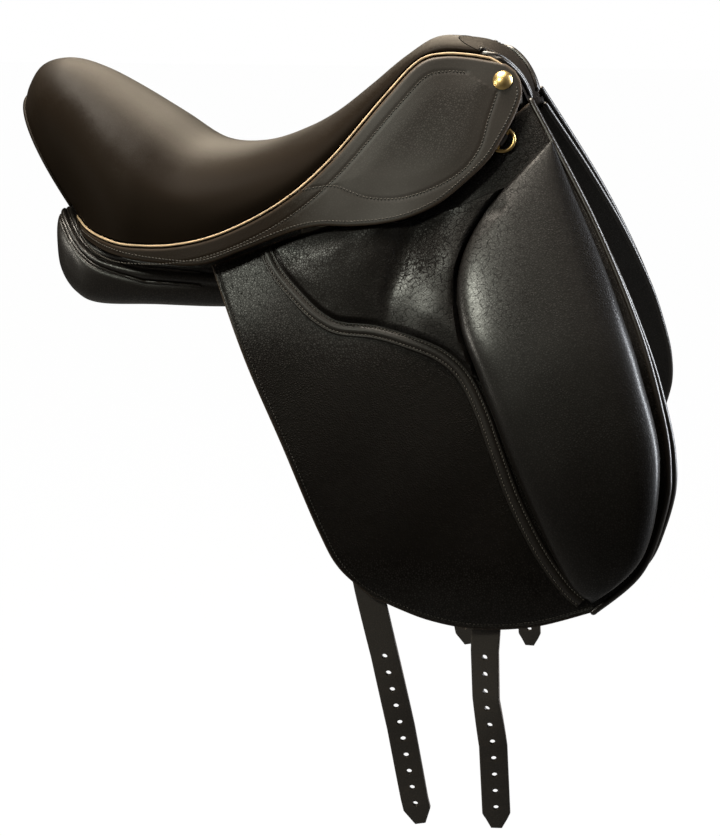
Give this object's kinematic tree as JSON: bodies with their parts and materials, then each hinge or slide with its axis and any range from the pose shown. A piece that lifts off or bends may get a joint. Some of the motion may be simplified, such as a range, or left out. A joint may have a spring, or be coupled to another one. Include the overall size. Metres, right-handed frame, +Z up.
{
  "type": "dressage saddle",
  "caption": "Black leather dressage saddle with a deep dipped seat, long straight flaps, thigh blocks and hanging girth straps.",
  "frame": {"origin": "in the spine channel midway between the panels, at the height of the rear panels' base", "axes": "+X to the horse's head, +Y to its left side, +Z up"},
  "size_m": [0.6092, 0.4478, 0.6802],
  "materials": {
    "smooth_leather": "smooth, low sheen",
    "grained_leather": "grained, low sheen",
    "welt_leather": "smooth",
    "brass_fittings": "polished",
    "steel_fittings": "satin",
    "tree_wood": "raw",
    "seat_padding": "open foam",
    "webbing": "woven"
  },
  "bodies": {
    "saddle_body": {"tree": "tree_wood", "tree_springs": "steel_fittings", "head_plate": "steel_fittings", "girth_web_front": "webbing", "girth_web_rear": "webbing", "seat_web_long": "webbing", "seat_web_cross": "webbing", "seat_foam": "seat_padding", "seat_cover": "smooth_leather", "pommel_facing": "smooth_leather", "cantle_back": "smooth_leather", "seat_welt_left": "welt_leather", "seat_welt_right": "welt_leather", "panel_left": "smooth_leather", "panel_right": "smooth_leather", "rear_gusset_left": "smooth_leather", "rear_gusset_right": "smooth_leather", "sweat_flap_left": "smooth_leather", "sweat_flap_right": "smooth_leather", "skirt_left": "smooth_leather", "skirt_right": "smooth_leather", "stud_left": "brass_fittings", "stud_right": "brass_fittings", "stirrup_bar_left": "steel_fittings", "stirrup_bar_right": "steel_fittings", "latch_pin_left": "steel_fittings", "latch_pin_right": "steel_fittings"},
    "left_flap_body": {"flap_left": "grained_leather", "flap_pad_left": "grained_leather", "thigh_block_left": "grained_leather", "flap_seam_left": "smooth_leather", "dee_tab_left": "smooth_leather"},
    "left_skirt_body": {"skirt_lobe_left": "smooth_leather"},
    "left_dee_body": {"dee_ring_left": "brass_fittings"},
    "left_latch_body": {"bar_latch_left": "steel_fittings"},
    "left_front_billet_body": {"front_billet_left": "smooth_leather"},
    "left_rear_billet_body": {"rear_billet_left": "smooth_leather"},
    "right_flap_body": {"flap_right": "grained_leather", "flap_pad_right": "grained_leather", "thigh_block_right": "grained_leather", "flap_seam_right": "smooth_leather", "dee_tab_right": "smooth_leather"},
    "right_skirt_body": {"skirt_lobe_right": "smooth_leather"},
    "right_dee_body": {"dee_ring_right": "brass_fittings"},
    "right_latch_body": {"bar_latch_right": "steel_fittings"},
    "right_front_billet_body": {"front_billet_right": "smooth_leather"},
    "right_rear_billet_body": {"rear_billet_right": "smooth_leather"}
  },
  "joints": [
    {"name": "left_flap_lift", "type": "hinge", "parent": "saddle_body", "child": "left_flap_body", "pos_m": [-0.052, 0.13301, 0.04], "axis": [0.8578, -0.2172, 0.4658], "range_deg": [0, 40]},
    {"name": "left_skirt_lift", "type": "hinge", "parent": "saddle_body", "child": "left_skirt_body", "pos_m": [-0.052, 0.14901, 0.04], "axis": [0.8578, -0.2172, 0.4658], "range_deg": [0, 60]},
    {"name": "left_dee_swing", "type": "hinge", "parent": "left_flap_body", "child": "left_dee_body", "pos_m": [0.196, 0.08695, 0.14635], "axis": [0.5, -0.366, 0.7849], "range_deg": [0, 20]},
    {"name": "left_latch_turn", "type": "hinge", "parent": "saddle_body", "child": "left_latch_body", "pos_m": [0.097, 0.09835, 0.12854], "axis": [0, 0.9063, 0.4226], "range_deg": [0, 70]},
    {"name": "left_front_billet_swing", "type": "hinge", "parent": "saddle_body", "child": "left_front_billet_body", "pos_m": [0.185, 0.13208, 0.042], "axis": [0, 0.9063, 0.4226], "range_deg": [-5, 2]},
    {"name": "left_rear_billet_swing", "type": "hinge", "parent": "saddle_body", "child": "left_rear_billet_body", "pos_m": [0.035, 0.13208, 0.042], "axis": [0, 0.9063, 0.4226], "range_deg": [-2, 6]},
    {"name": "right_flap_lift", "type": "hinge", "parent": "saddle_body", "child": "right_flap_body", "pos_m": [-0.052, -0.13301, 0.04], "axis": [-0.8578, -0.2172, -0.4658], "range_deg": [0, 40]},
    {"name": "right_skirt_lift", "type": "hinge", "parent": "saddle_body", "child": "right_skirt_body", "pos_m": [-0.052, -0.14901, 0.04], "axis": [-0.8578, -0.2172, -0.4658], "range_deg": [0, 60]},
    {"name": "right_dee_swing", "type": "hinge", "parent": "right_flap_body", "child": "right_dee_body", "pos_m": [0.196, -0.08695, 0.14635], "axis": [-0.5, -0.366, -0.7849], "range_deg": [0, 20]},
    {"name": "right_latch_turn", "type": "hinge", "parent": "saddle_body", "child": "right_latch_body", "pos_m": [0.097, -0.09835, 0.12854], "axis": [0, 0.9063, -0.4226], "range_deg": [0, 70]},
    {"name": "right_front_billet_swing", "type": "hinge", "parent": "saddle_body", "child": "right_front_billet_body", "pos_m": [0.185, -0.13208, 0.042], "axis": [0, 0.9063, -0.4226], "range_deg": [-5, 2]},
    {"name": "right_rear_billet_swing", "type": "hinge", "parent": "saddle_body", "child": "right_rear_billet_body", "pos_m": [0.035, -0.13208, 0.042], "axis": [0, 0.9063, -0.4226], "range_deg": [-2, 6]}
  ],
  "couplings": [
    {"joint": "left_skirt_lift", "follows": "left_flap_lift", "ratio": 1.5},
    {"joint": "right_skirt_lift", "follows": "right_flap_lift", "ratio": 1.5}
  ]
}
